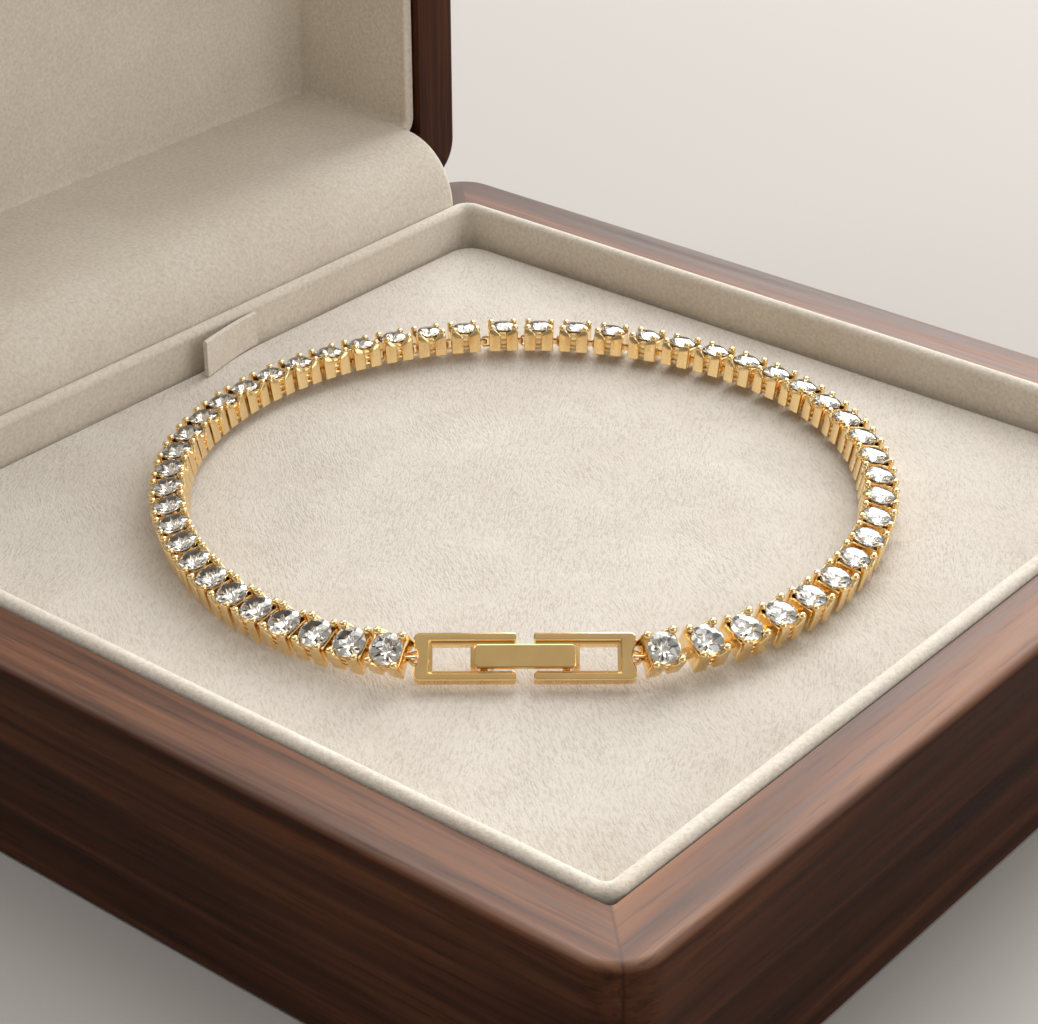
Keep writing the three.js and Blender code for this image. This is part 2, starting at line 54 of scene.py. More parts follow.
# Box
SEAT_GAP = 0.3
OPENING_WIDTH = 83.8
WOOD_WALL = 5.6
CORNER_RADIUS = 4
OPENING_CORNER_RADIUS = 0.6
EDGE_ROUND = 0.9
FOOT_ROUND = 0.5
BASE_HEIGHT = 18.4
BASE_FLOOR = 3
LID_HEIGHT = 20.6
LID_PANEL = 3
LID_RIM_GAP = 0.3
BARREL_RADIUS = 1
MITRE_LINE = 0.25
BOARD_SHIFT = 370

# Lining, pad, padded hinge cloth and tab
LINING_GAP = 0.2
LINING_THICKNESS = 1
LINING_CORNER_RADIUS = 1
ROLL_RADIUS = 0.7
ROLL_LIFT = 0.1
ROLL_RUN_OUT = 4.2
ROLL_LEAST_CORNER = 0.3
PAD_DROP = 3.3
PAD_CORNER_RADIUS = 3
PAD_EDGE_ROUND = 1.2
PAD_UNDER_ROUND = 0.6
PAD_LEAST_CORNER = 0.02
PAD_WAVE = 0.05
PAD_WAVE_FADE = 6
LID_LINING_SETBACK = 1.1
LID_LINING_EDGE = 0.35
LID_LINING_FILLET = 0.9
COVER_OVERLAP = 0.7
COVER_FOOT_REACH = 0.1
COVER_FOOT_LIFT = 0.05
COVER_SKIN = 0.25
COVER_END_ROUND = 0.9
TAB_LENGTH = 8
TAB_THICKNESS = 0.5
TAB_STAND_OFF = 1.5
TAB_TOP = 18.8
TAB_WALL_GAP = 0.1
TAB_START = 1
TAB_FALL = 0.35
TAB_CURL = 1.4

# Stones, settings and links
STONE_DIAMETER = 2.6
TABLE_SHARE = 0.56
CROWN_HEIGHT = 0.42
GIRDLE_HEIGHT = 2.02
SETTING_MARGIN_LENGTH = 0.05
SETTING_MARGIN_WIDTH = 0.2
SLOT_WIDTH = 0.5
POST_DEPTH = 0.48
PRONG_RADIUS = 0.32
PRONG_INSET = 0.29
BEAD_HEIGHT = 2.2
BEAD_FLATTEN = 0.9
COLUMN_ROUND = 0.13
PLATE_INNER = 0.24
PLATE_OUTER = 0.02
PLATE_HALF_WIDTH = 1.15
PLATE_LOW = 0.06
PLATE_HIGH = 1.8
PLATE_ROUND = 0.08
RUNG_HALF_LENGTH = 0.3
RUNG_INNER = 0.5
RUNG_OUTER = 0.16
RUNG_HEIGHTS = (0.32, 0.86, 1.4)
RUNG_THICKNESS = 0.26
RUNG_ROUND = 0.1
# Height, then how far a column's inner x, inner y and outer faces are drawn in
COLUMN_LEVELS = (
    (0, 0.08, 0.08, 0.08), (0.07, 0, 0, 0), (1.45, 0, 0, 0), (1.65, 0.06, 0, 0),
    (1.8, 0.2, 0, 0), (1.92, 0.38, 0, 0.01), (2.06, 0.55, 0, 0.02), (2.2, 0.6, 0.02, 0.06),
)
# Radius and height of the cup's section, from its underside over the seat to its inside
CUP_SECTION = (
    (0.2, 0.08), (1.0, 0.1), (1.12, 0.3), (1.2, 1.2), (1.24, 1.76), (1.16, 1.8), (0.62, 1.36),
    (0.1, 0.84),
)
LINK_COUNT = 50
FIRST_LINK_GAP = 0.4
LAST_LINK_GAP = 1
MEETING_SLACK = 0.3
LUG_WIDTH = 0.84
LUG_THICKNESS = 0.36
LUG_HOLE_RADIUS = 0.3
LUG_HEIGHT = 0.65
LUG_CLEARANCE = 0.14
STAPLE_WIRE = 0.2
STAPLE_BEND = 0.08
JOINT_OVERLAP = 0.04
JOIN_DEPTH = 0.3

# Clasp
FRAME_LENGTH = 7.75
FRAME_WIDTH = 3.8
FRAME_THICKNESS = 1.2
FRAME_GAP = 1.3
ARM_WIDTH = 0.65
LEDGE_WIDTH = 0.22
LEDGE_DROP = 0.35
LEDGE_INSET = 0.12
LEDGE_LIFT = 0.05
LEDGE_BEVEL = 0.07
END_BAR = 1.2
SCALLOP_RADIUS = 1.56
SCALLOP_OFFSET = 1.26
CORNER_ROUND = 0.45
TONGUE_LENGTH = 7.7
TONGUE_WIDTH = 1.9
TONGUE_THICKNESS = 0.45
TONGUE_ROUND = 0.35
BAR_RADIUS = 0.3
BAR_HEIGHT = 0.42
BAR_CLEARANCE = 0.15
BAR_OVERLAP = 0.1
LEG_THICKNESS = 0.3
LEG_DROP = 0.3
LEG_REACH = 0.27
LEG_INSET = 0.1
LEG_ROUND = 0.07
EYELET_RADIUS = 0.55
EYELET_HOLE = 0.32
EYELET_SWELL = 0.06
EYELET_REACH = 0.4
EYELET_THICKNESS = 0.4
CLASP_SLIP = 0.3
END_GAP = 0.7
CLASP_BEVEL = 0.19
TONGUE_BEVEL = 0.15
ARM_END_ROUND = 0.2

# Lie of the loop on the pad
LOOP_CENTRE = (1.9, 1.3)
LOOP_TURN = -50.5
FRONT_SHARE = 1.05
BACK_SHARE = 0.94
REST_LEAN = 12
CLASP_LEAN = 40
LEAN_REACH = 7
CLASP_LIFT = 0.42

# Camera: place in millimetres and view directions, lens for a sensor 36 mm wide
CAMERA_PLACE = (-154.24, -126.83, 126.40)
CAMERA_RIGHT = (0.634951, -0.772548, -0.002385)
CAMERA_UP = (0.378164, 0.308115, 0.872959)
CAMERA_LENS = 93.96
SENSOR_WIDTH = 36

# Stage
FLOOR_REACH = 3000
STAGE_AIM = (0, 0, 15)

# Worked out from the sizes
HALF_OPENING = OPENING_WIDTH / 2
HALF_OUTER = HALF_OPENING + WOOD_WALL
RIM_Z = BASE_HEIGHT
PAD_TOP = RIM_Z - PAD_DROP
LINK_LENGTH = STONE_DIAMETER + 2 * SETTING_MARGIN_LENGTH
LINK_WIDTH = STONE_DIAMETER + 2 * SETTING_MARGIN_WIDTH
CLASP_LENGTH = 2 * FRAME_LENGTH + FRAME_GAP
END_STONE_SPAN = CLASP_LENGTH + 2 * END_GAP + LINK_LENGTH
EYELET_X = -CLASP_LENGTH / 2 + EYELET_RADIUS - EYELET_REACH
BAR_X = -TONGUE_LENGTH / 2 + LEG_THICKNESS + BAR_CLEARANCE + BAR_RADIUS
LINING_OUTER = HALF_OPENING - LINING_GAP
LINING_INNER = LINING_OUTER - LINING_THICKNESS
COVER_RISE = WOOD_WALL + LINING_GAP + LINING_THICKNESS
HINGE = Vector((0, HALF_OUTER, RIM_Z))


# Nodes


class Nodes:
    """A node tree with one call per node."""

    def __init__(self, tree):
        self.tree = tree

    def put(self, socket, value):
        """Sets or links one input."""
        if isinstance(value, bpy.types.NodeSocket):
            self.tree.links.new(value, socket)
        elif socket.type == "RGBA":
            socket.default_value = (*value, 1)
        else:
            socket.default_value = value

    def fill(self, node, inputs):
        for key, value in inputs.items():
            self.put(node.inputs[key], value)

    def node(self, kind, inputs=None, output=0, **settings):
        """Adds a node and gives back one of its outputs."""
        node = self.tree.nodes.new(kind)
        for key, value in settings.items():
            setattr(node, key, value)
        self.fill(node, inputs or {})
        return node.outputs[output]

    def math(self, operation, a, b=0.0):
        return self.node("ShaderNodeMath", {0: a, 1: b}, operation=operation)

    def place(self):
        """Coordinates of the object at rest, in metres."""
        return self.node("ShaderNodeTexCoord", output="Object")

    def stretched(self, vector, scale):
        return self.node("ShaderNodeMapping", {"Vector": vector, "Scale": scale})

    def noise(self, vector, scale, detail=3.0, roughness=0.5, distortion=0.0):
        inputs = {
            "Vector": vector, "Scale": scale, "Detail": detail, "Roughness": roughness,
            "Distortion": distortion,
        }
        return self.node("ShaderNodeTexNoise", inputs)

    def ramp(self, factor, stops):
        """A colour ramp with (position, colour) stops."""
        node = self.tree.nodes.new("ShaderNodeValToRGB")
        elements = node.color_ramp.elements
        while len(elements) < len(stops):
            elements.new(0.5)
        for element, (position, colour) in zip(elements, stops):
            element.position = position
            element.color = (*colour, 1)
        self.put(node.inputs["Fac"], factor)
        return node.outputs["Color"]

    def spread(self, factor, low, high, to_low=0.0, to_high=1.0):
        inputs = {"Value": factor, 1: low, 2: high, 3: to_low, 4: to_high}
        return self.node("ShaderNodeMapRange", inputs)

    def bump(self, height, strength, distance, normal=None):
        inputs = {"Height": height, "Strength": strength, "Distance": distance}
        if normal is not None:
            inputs["Normal"] = normal
        return self.node("ShaderNodeBump", inputs)

    def mix(self, factor, a, b, blend="MIX", kind="RGBA"):
        """Mixes two colours or two vectors."""
        node = self.tree.nodes.new("ShaderNodeMix")
        node.data_type = kind
        node.blend_type = blend
        sides = [s for s in node.inputs if s.type == kind and s.name in "AB"]
        for socket, value in zip((node.inputs[0], *sides), (factor, a, b)):
            self.put(socket, value)
        return [s for s in node.outputs if s.type == kind][0]


class Shader(Nodes):
    """The node tree of a new material."""

    def __init__(self, name):
        self.material = bpy.data.materials.new(name)
        self.material.use_nodes = True
        super().__init__(self.material.node_tree)

    def finish(self, **inputs):
        """Sets the surface's inputs, named with underscores for spaces."""
        inputs = {key.replace("_", " "): value for key, value in inputs.items()}
        self.fill(self.tree.nodes["Principled BSDF"], inputs)
        return self.material


# Materials


def walnut(name, across="Y", centre=(0, 0, 0)):
    """Oiled walnut whose grain follows each side of a frame and turns at its mitres.

    The frame's sides run along X and along the named axis, around the centre. Faces that point up
    are painted lighter as a painted sheen of the light from above, faces that point sideways are
    painted darker as painted shade, and faces that point up also reflect more strongly.
    """
    shader = Shader(name)
    shift = tuple(-c * MM for c in centre)
    moved = shader.node("ShaderNodeMapping", {"Vector": shader.place(), "Location": shift})
    axes = shader.node("ShaderNodeSeparateXYZ", {"Vector": moved}).node.outputs
    x, y = axes["X"], axes[across]
    depth = axes["Z" if across == "Y" else "Y"]
    reach_x = shader.math("ABSOLUTE", x)
    reach_y = shader.math("ABSOLUTE", y)
    beyond = shader.math("SUBTRACT", reach_x, reach_y)
    farthest = shader.math("MAXIMUM", reach_x, reach_y)
    on_frame = shader.math("GREATER_THAN", farthest, (HALF_OPENING - SEAT_GAP) * MM)
    side = shader.math("MULTIPLY", shader.math("GREATER_THAN", beyond, 0.0), on_frame)
    line = shader.spread(shader.math("ABSOLUTE", beyond), 0.0, MITRE_LINE * MM, 1.0, 0.0)
    mitre = shader.math("MULTIPLY", line, on_frame)
    other_board = shader.math("ADD", depth, BOARD_SHIFT * MM)
    along_x = shader.node("ShaderNodeCombineXYZ", {"X": x, "Y": y, "Z": depth})
    along_y = shader.node("ShaderNodeCombineXYZ", {"X": y, "Y": x, "Z": other_board})
    grain = shader.mix(side, along_x, along_y, kind="VECTOR")
    broad = shader.noise(shader.stretched(grain, (7, 170, 170)), 1.6, 3, 0.5, distortion=0.5)
    streaks = shader.noise(shader.stretched(grain, (10, 480, 480)), 2.2, 4, 0.6)
    pores = shader.noise(shader.stretched(grain, (70, 1500, 1500)), 1.6, 2, 0.6)
    body = shader.ramp(broad, [
        (0.32, (0.055, 0.021, 0.011)), (0.5, (0.105, 0.042, 0.021)), (0.68, (0.20, 0.088, 0.043)),
    ])
    lines = shader.ramp(streaks, [(0.36, (0.6, 0.57, 0.56)), (0.6, (1.1, 1.08, 1.05))])
    colour = shader.mix(1.0, body, lines, "MULTIPLY")
    pore_dark = shader.ramp(pores, [(0.34, (0.7, 0.66, 0.66)), (0.44, (1, 1, 1))])
    colour = shader.mix(1.0, colour, pore_dark, "MULTIPLY")
    board_tone = shader.ramp(side, [(0.0, (0.84, 0.82, 0.82)), (1.0, (1, 1, 1))])
    colour = shader.mix(1.0, colour, board_tone, "MULTIPLY")
    colour = shader.mix(shader.math("MULTIPLY", mitre, 0.6), colour, (0.03, 0.012, 0.008))
    normal = shader.node("ShaderNodeTexCoord", output="Normal")
    facing = shader.node("ShaderNodeSeparateXYZ", {"Vector": normal}, "Z")
    upward = shader.spread(facing, 0.4, 0.9)
    # Painted light and shade: faces that point up are painted lighter as a sheen of the light from
    # above, sideways faces painted darker
    top_sheen_side_shade = shader.ramp(upward, [(0.0, (0.60, 0.49, 0.43)), (1.0, (1.66, 1.68, 1.6))])
    colour = shader.mix(1.0, colour, top_sheen_side_shade, "MULTIPLY")
    normal = shader.bump(pores, 0.1, 0.00005)
    return shader.finish(
        Base_Color=colour, Roughness=shader.spread(streaks, 0.3, 0.7, 0.45, 0.6), Normal=normal,
        Specular_IOR_Level=shader.spread(upward, 0.0, 1.0, 0.12, 0.45),
    )


def suede(name):
    """Beige lining cloth with a fine, even pile."""
    shader = Shader(name)
    place = shader.place()
    clouds = shader.noise(place, 60, 4, 0.6)
    grit = shader.noise(place, 2600, 3, 0.7)
    colour = shader.ramp(clouds, [(0.3, (0.735, 0.655, 0.56)), (0.72, (0.83, 0.765, 0.675))])
    shade = shader.ramp(grit, [(0.3, (0.84, 0.83, 0.81)), (0.65, (1.04, 1.04, 1.04))])
    colour = shader.mix(1.0, colour, shade, "MULTIPLY")
    return shader.finish(
        Base_Color=colour, Roughness=0.92, Normal=shader.bump(grit, 0.55, 0.00012),
        Sheen_Weight=0.35, Sheen_Roughness=0.5, Specular_IOR_Level=0.2,
    )


def plush(name):
    """Cream pile brushed in patches, with short strokes, with painted shade towards the front corner
    and painted light towards the back.
    """
    shader = Shader(name)
    place = shader.place()
    clouds = shader.noise(place, 110, 4, 0.6)
    layers = []
    for degrees in (-28, -52):
        turn = shader.node("ShaderNodeVectorRotate", {
            "Vector": place, "Angle": math.radians(degrees),
        }, rotation_type="Z_AXIS")
        layers.append(shader.noise(shader.stretched(turn, (1500, 6000, 5000)), 1.0, 3, 0.62))
    patches = shader.spread(shader.noise(place, 85, 2, 0.5), 0.42, 0.58)
    keep = shader.math("MULTIPLY", layers[0], shader.math("SUBTRACT", 1.0, patches))
    strokes = shader.math("ADD", keep, shader.math("MULTIPLY", layers[1], patches))
    tufts = shader.noise(place, 900, 3, 0.6)
    colour = shader.ramp(clouds, [(0.3, (0.66, 0.605, 0.54)), (0.7, (0.735, 0.69, 0.63))])
    # Painted shade and light: the pile is painted darker towards the front corner and lighter towards
    # the back, as the light falls
    towards_back = shader.node(
        "ShaderNodeVectorMath", {0: place, 1: (0.364, 0.818, 0)}, "Value", operation="DOT_PRODUCT")
    painted_front_shade_back_light = shader.ramp(shader.spread(towards_back, -0.045, 0.03), [
        (0.0, (0.87, 0.86, 0.85)), (1.0, (1.08, 1.08, 1.08)),
    ])
    colour = shader.mix(1.0, colour, painted_front_shade_back_light, "MULTIPLY")
    dark = shader.ramp(strokes, [(0.34, (0.84, 0.81, 0.77)), (0.54, (1.03, 1.03, 1.03))])
    colour = shader.mix(1.0, colour, dark, "MULTIPLY")
    normal = shader.bump(tufts, 0.35, 0.0002)
    normal = shader.bump(strokes, 0.75, 0.0002, normal)
    return shader.finish(
        Base_Color=colour, Roughness=0.96, Normal=normal, Sheen_Weight=0.5, Sheen_Roughness=0.45,
        Specular_IOR_Level=0.12,
    )


def gold(name, roughness, low, high):
    """Polished yellow gold with faint handling haze between two tones."""
    shader = Shader(name)
    haze = shader.noise(shader.place(), 500, 2, 0.5)
    tone = shader.ramp(haze, [(0.3, low), (0.7, high)])
    return shader.finish(
        Base_Color=tone, Metallic=1.0,
        Roughness=shader.spread(haze, 0.3, 0.7, roughness, roughness * 1.4),
    )


def stone(name):
    """Clear crown of a cut stone."""
    shader = Shader(name)
    return shader.finish(Base_Color=(1, 1, 1), Roughness=0.0, IOR=2.3, Transmission_Weight=1.0)


def stone_depth(name):
    """Facets under the crown, which send the light back up as a cut stone's do."""
    shader = Shader(name)
    return shader.finish(Base_Color=(0.99, 0.97, 0.93), Roughness=0.08, Metallic=1.0)


def brass(name):
    """Satin brass of the hidden hinge."""
    shader = Shader(name)
    brushed = shader.noise(shader.stretched(shader.place(), (60, 2400, 2400)), 1.0, 3, 0.6)
    tone = shader.ramp(brushed, [(0.3, (0.36, 0.24, 0.09)), (0.7, (0.5, 0.35, 0.14))])
    return shader.finish(
        Base_Color=tone, Metallic=1.0, Roughness=0.38, Normal=shader.bump(brushed, 0.2, 0.00005),
    )


# Mesh helpers


def new_object(name, points, faces, materials, kinds=None, sharp_degrees=35, weighted=True):
    """A mesh object from points in millimetres, with a material index for each face in kinds."""
    mesh = bpy.data.meshes.new(name)
    mesh.from_pydata([(x * MM, y * MM, z * MM) for x, y, z in points], [], faces)
    for material in materials:
        mesh.materials.append(material)
    if kinds is not None:
        mesh.polygons.foreach_set("material_index", kinds)
    mesh.validate()
    mesh.shade_smooth()
    mesh.set_sharp_from_angle(angle=math.radians(sharp_degrees))
    mesh.update()
    thing = bpy.data.objects.new(name, mesh)
    bpy.context.collection.objects.link(thing)
    if weighted:
        modifier = thing.modifiers.new("even_normals", "WEIGHTED_NORMAL")
        modifier.keep_sharp = True
    return thing


def quarter(steps, start=0.0):
    """Angles of a quarter turn in equal steps, with both ends."""
    return [start + step / steps * math.pi / 2 for step in range(steps + 1)]


def full_turn(count):
    """Angles of a full turn in equal steps."""
    return [k / count * 2 * math.pi for k in range(count)]


def corner_arc(x, y, radius, start, steps=6):
    """Points of a quarter circle round a centre."""
    return [(x + radius * math.cos(a), y + radius * math.sin(a)) for a in quarter(steps, start)]


def rounded_rectangle(low, high, radius, steps, inset=0):
    """Points of a rectangle with rounded corners, counter-clockwise, drawn in by the inset."""
    left, front = low[0] + radius, low[1] + radius
    right, back = high[0] - radius, high[1] - radius
    points = []
    for k, (x, y) in enumerate(((right, back), (left, back), (left, front), (right, front))):
        points += corner_arc(x, y, radius - inset, k * math.pi / 2, steps)
    return points


def loops_body(loops, ring=False):
    """Points and faces skinned over loops, with closed ends or joined in a ring."""
    count = len(loops[0])
    points = [point for loop in loops for point in loop]
    faces = []
    for level in range(len(loops) if ring else len(loops) - 1):
        low = level * count
        high = (level + 1) % len(loops) * count
        for i in range(count):
            after = (i + 1) % count
            faces.append((low + i, low + after, high + after, high + i))
    if not ring:
        faces.append(tuple(reversed(range(count))))
        faces.append(tuple(range((len(loops) - 1) * count, len(loops) * count)))
    return points, faces


def square_loft(levels, segments, ring=False):
    """Points and faces skinned over rounded squares, given as (half width, corner radius, z)."""
    loops = []
    for half, radius, z in levels:
        outline = rounded_rectangle((-half, -half), (half, half), radius, segments)
        loops.append([(x, y, z) for x, y in outline])
    return loops_body(loops, ring)


def round_levels(half, corner_radius, z, radius, facing):
    """Levels that round an edge, from the side wall to the flat end that faces up or down."""
    levels = []
    for a in quarter(6):
        inset = radius * (1 - math.cos(a))
        levels.append((
            half - inset, corner_radius - inset, z - facing * radius * (1 - math.sin(a))))
    return levels


def opened(points):
    """Points of a lid piece made closed about its hinge axis, turned to the open lid."""
    return [(x, HINGE.y + z, HINGE.z - (y - HALF_OUTER)) for x, y, z in points]


class Build:
    """Collects points, faces and a material index for each face."""

    def __init__(self):
        self.points = []
        self.faces = []
        self.kinds = []

    def add(self, points, faces, kinds=None, place=None):
        start = len(self.points)
        if place is not None:
            points = [place @ Vector(p) for p in points]
        self.points.extend(tuple(p) for p in points)
        self.faces.extend(tuple(start + i for i in face) for face in faces)
        self.kinds.extend(kinds or [0] * len(faces))


def ball(centre, radius, sides, rings, flatten):
    """A round bead, flattened along Z."""
    cx, cy, cz = centre
    loops = []
    for ring in range(1, rings):
        polar = math.pi - ring / rings * math.pi
        reach = radius * math.sin(polar)
        z = cz + radius * flatten * math.cos(polar)
        loops.append([
            (cx + reach * math.cos(a), cy + reach * math.sin(a), z) for a in full_turn(sides)])
    return loops_body(loops)


def tube(path, radius, sides, side):
    """A wire of round section with flat ends, along a path at right angles to the side."""
    loops = []
    for i, point in enumerate(path):
        before = Vector(path[max(i - 1, 0)])
        after = Vector(path[min(i + 1, len(path) - 1)])
        up = side.cross((after - before).normalized())
        loops.append([
            Vector(point) + radius * (math.cos(a) * side - math.sin(a) * up)
            for a in full_turn(sides)])
    return loops_body(loops)


def rounded_block(low, high, radius):
    """A block whose vertical edges and top and bottom edges are rounded."""
    steps = 3
    deepest = 0.98 * radius
    bottom = [(1 - math.sin(a), low[2] + radius * (1 - math.cos(a))) for a in quarter(steps)]
    top = [(1 - math.cos(a), high[2] - radius * (1 - math.sin(a))) for a in quarter(steps)]
    loops = []
    for share, z in bottom + top:
        outline = rounded_rectangle(low, high, radius, steps, share * deepest)
        loops.append([(x, y, z) for x, y in outline])
    return loops_body(loops)


# Wood


def make_base_wood(material):
    """Tray with rounded outer edges."""
    levels = [
        *reversed(round_levels(HALF_OUTER, CORNER_RADIUS, 0, FOOT_ROUND, -1)),
        *round_levels(HALF_OUTER, CORNER_RADIUS, RIM_Z, EDGE_ROUND, 1),
        (HALF_OPENING, OPENING_CORNER_RADIUS, RIM_Z),
        (HALF_OPENING, OPENING_CORNER_RADIUS, BASE_FLOOR),
    ]
    points, faces = square_loft(levels, 12)
    wood = new_object("tray", points, faces, [material])
    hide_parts("base_frame")
    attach(wood, "box")


def make_lid_wood(material):
    """Lid standing open, with the same rounded edges as the tray."""
    levels = [
        (HALF_OPENING, OPENING_CORNER_RADIUS, LID_HEIGHT - LID_PANEL),
        (HALF_OPENING, OPENING_CORNER_RADIUS, LID_RIM_GAP),
        *reversed(round_levels(HALF_OUTER, CORNER_RADIUS, LID_RIM_GAP, EDGE_ROUND, -1)),
        *round_levels(HALF_OUTER, CORNER_RADIUS, LID_HEIGHT, EDGE_ROUND, 1),
    ]
    points, faces = square_loft(levels, 12)
    wood = new_object("lid", opened(points), faces, [material])
    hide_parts("lid_frame")
    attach(wood, "lid")


# Cloth


def make_base_lining(material):
    """Wall lining whose top edge is rolled along the rim."""
    roll_middle = LINING_OUTER - ROLL_RADIUS
    roll_z = RIM_Z - ROLL_LIFT
    low = BASE_FLOOR + SEAT_GAP
    steps = 12
    levels = [
        (LINING_INNER, LINING_CORNER_RADIUS, low),
        (LINING_OUTER, LINING_CORNER_RADIUS + LINING_THICKNESS, low),
        (LINING_OUTER, LINING_CORNER_RADIUS + LINING_THICKNESS, roll_z - ROLL_RADIUS),
    ]
    for step in range(steps + 1):
        angle = step / steps * math.pi
        half = roll_middle + ROLL_RADIUS * math.cos(angle)
        levels.append((
            half, max(ROLL_LEAST_CORNER, LINING_CORNER_RADIUS + half - LINING_INNER),
            roll_z + ROLL_RADIUS * math.sin(angle)))
    levels.append((LINING_INNER, LINING_CORNER_RADIUS, roll_z - ROLL_RUN_OUT))
    points, faces = square_loft(levels, 10, ring=True)
    lining = new_object("tray_lining", points, faces, [material], sharp_degrees=60)
    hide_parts("base_lining")
    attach(lining, "box")


def make_lid_lining(material):
    """Lining of the lid's walls and panel, with soft inner corners."""
    ceiling = LID_HEIGHT - LID_PANEL - LINING_GAP
    top = ceiling - LINING_THICKNESS
    outer_corner = LINING_CORNER_RADIUS + LINING_THICKNESS
    levels = []
    for a in reversed(quarter(4)):
        inset = LID_LINING_FILLET * (1 - math.cos(a))
        drop = LID_LINING_FILLET * (1 - math.sin(a))
        levels.append((LINING_INNER - inset, LINING_CORNER_RADIUS, top - drop))
    for a in quarter(4)[:-1]:
        reach = LID_LINING_EDGE * (1 - math.cos(a))
        rise = LID_LINING_EDGE * (1 - math.sin(a))
        levels.append((LINING_INNER + reach, LINING_CORNER_RADIUS, LID_LINING_SETBACK + rise))
    levels += [
        (LINING_INNER + LID_LINING_EDGE, LINING_CORNER_RADIUS + LID_LINING_EDGE, LID_LINING_SETBACK),
        (LINING_OUTER, outer_corner, LID_LINING_SETBACK),
        (LINING_OUTER, outer_corner, ceiling),
    ]
    points, faces = square_loft(levels, 10)
    lining = new_object("lid_lining_cloth", opened(points), faces, [material], sharp_degrees=60)
    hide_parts("lid_lining")
    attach(lining, "lid")


def pad_height(x, y, half):
    """Height of the pad's top above its flat middle: rounded edges and a slight wave."""
    edge = min(half - abs(x), half - abs(y))
    drop = 0.0
    if edge < PAD_EDGE_ROUND:
        drop = PAD_EDGE_ROUND - math.sqrt(max(0, PAD_EDGE_ROUND ** 2 - (PAD_EDGE_ROUND - edge) ** 2))
    wave = PAD_WAVE * math.sin(x * 0.21 + 1.3) * math.sin(y * 0.17 + 0.4)
    return wave * min(1, edge / PAD_WAVE_FADE) - drop


def make_pad(material):
    """Plush pad, crowned along its edges."""
    half = HALF_OPENING - LINING_GAP - LINING_THICKNESS - SEAT_GAP
    low = BASE_FLOOR + SEAT_GAP
    levels = [
        (half - PAD_UNDER_ROUND, PAD_CORNER_RADIUS - PAD_UNDER_ROUND, low),
        (half, PAD_CORNER_RADIUS, low + PAD_UNDER_ROUND),
        *round_levels(half, PAD_CORNER_RADIUS, PAD_TOP, PAD_EDGE_ROUND, 1),
    ]
    inset = half - PAD_EDGE_ROUND
    inner_corner = PAD_CORNER_RADIUS - PAD_EDGE_ROUND
    rings = 48
    for ring in range(1, rings):
        share = 1 - ring / rings
        levels.append((inset * share, max(PAD_LEAST_CORNER, inner_corner * share), PAD_TOP))
    points, faces = square_loft(levels, 12)
    points = [
        (x, y, z + (pad_height(x, y, half) if z == PAD_TOP else 0)) for x, y, z in points]
    pad = new_object("plush_pad", points, faces, [material], sharp_degrees=70)
    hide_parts("pad")
    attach(pad, "box")


def make_hinge_cloth(material):
    """Padded cloth from the tray's back rim, over the hinge and along the lid's lower lining."""
    half = LINING_INNER - SEAT_GAP
    foot = HALF_OPENING - COVER_FOOT_REACH
    foot_z = RIM_Z + COVER_FOOT_LIFT
    back = HALF_OUTER + LID_RIM_GAP - SEAT_GAP
    clear = BARREL_RADIUS + 2 * SEAT_GAP
    over_wall = WOOD_WALL + SEAT_GAP
    reach = back + COVER_OVERLAP - foot
    apron_start = back + COVER_OVERLAP
    apron_end = HALF_OUTER + LID_HEIGHT - LID_PANEL - LINING_GAP - LINING_THICKNESS - SEAT_GAP
    top = RIM_Z + COVER_RISE + COVER_SKIN
    apron_under = top - COVER_SKIN * 0.8
    section = [
        (foot + reach * (1 - math.cos(a)), foot_z + (top - foot_z) * math.sin(a))
        for a in quarter(14)]
    section += [(apron_start + (apron_end - apron_start) * k / 8, top) for k in range(1, 9)]
    section += [
        (apron_end, apron_under), (HALF_OUTER + LID_LINING_SETBACK, apron_under),
        (apron_start, RIM_Z + over_wall + 0.2), (back, RIM_Z + over_wall), (back, RIM_Z + clear),
        (back - clear, RIM_Z + SEAT_GAP)]
    inside = half - COVER_END_ROUND
    stations = [
        (half - COVER_END_ROUND * (1 - math.sin(a)), COVER_END_ROUND * (1 - math.cos(a)))
        for a in quarter(6)]
    xs = [(-x, drop) for x, drop in reversed(stations)]
    xs += [(-inside + 2 * inside * k / 40, 0.0) for k in range(1, 40)]
    xs += stations
    middle = (back, RIM_Z + COVER_RISE * 0.5)
    loops = []
    for x, drop in xs:
        loop = []
        for y, z in section:
            towards = Vector((middle[0] - y, middle[1] - z))
            if y <= apron_start:
                shift = towards.normalized() * min(drop, towards.length * 0.5)
            else:
                shift = Vector((0, 0))
            loop.append((x, y + shift.x, z + shift.y))
        loops.append(loop)
    points, faces = loops_body(loops)
    cloth = new_object("hinge_cloth", points, faces, [material], sharp_degrees=80)
    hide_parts("hinge_cover")
    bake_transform(cloth)


def make_tab(material):
    """Cloth tab that lies on the back wall at one end and stands off it at the other."""
    wall = LINING_OUTER - 2 * ROLL_RADIUS - TAB_WALL_GAP
    low = PAD_TOP + TAB_WALL_GAP
    half = TAB_THICKNESS / 2
    loops = []
    along_steps, round_steps = 24, 6
    for step in range(along_steps + 1):
        share = step / along_steps
        x = TAB_START + TAB_LENGTH * share
        middle = wall - half - TAB_STAND_OFF * (1 - share) ** TAB_CURL
        top = TAB_TOP - TAB_FALL * share
        loop = [(x, middle - half, low), (x, middle + half, low)]
        for k in range(round_steps + 1):
            angle = k / round_steps * math.pi
            loop.append((x, middle + half * math.cos(angle), top - half + half * math.sin(angle)))
        loops.append(loop)
    points, faces = loops_body(loops)
    tab = new_object("cloth_tab", points, faces, [material], sharp_degrees=60)
    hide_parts("pull_tab")
    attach(tab, "box")


# Route of the bracelet


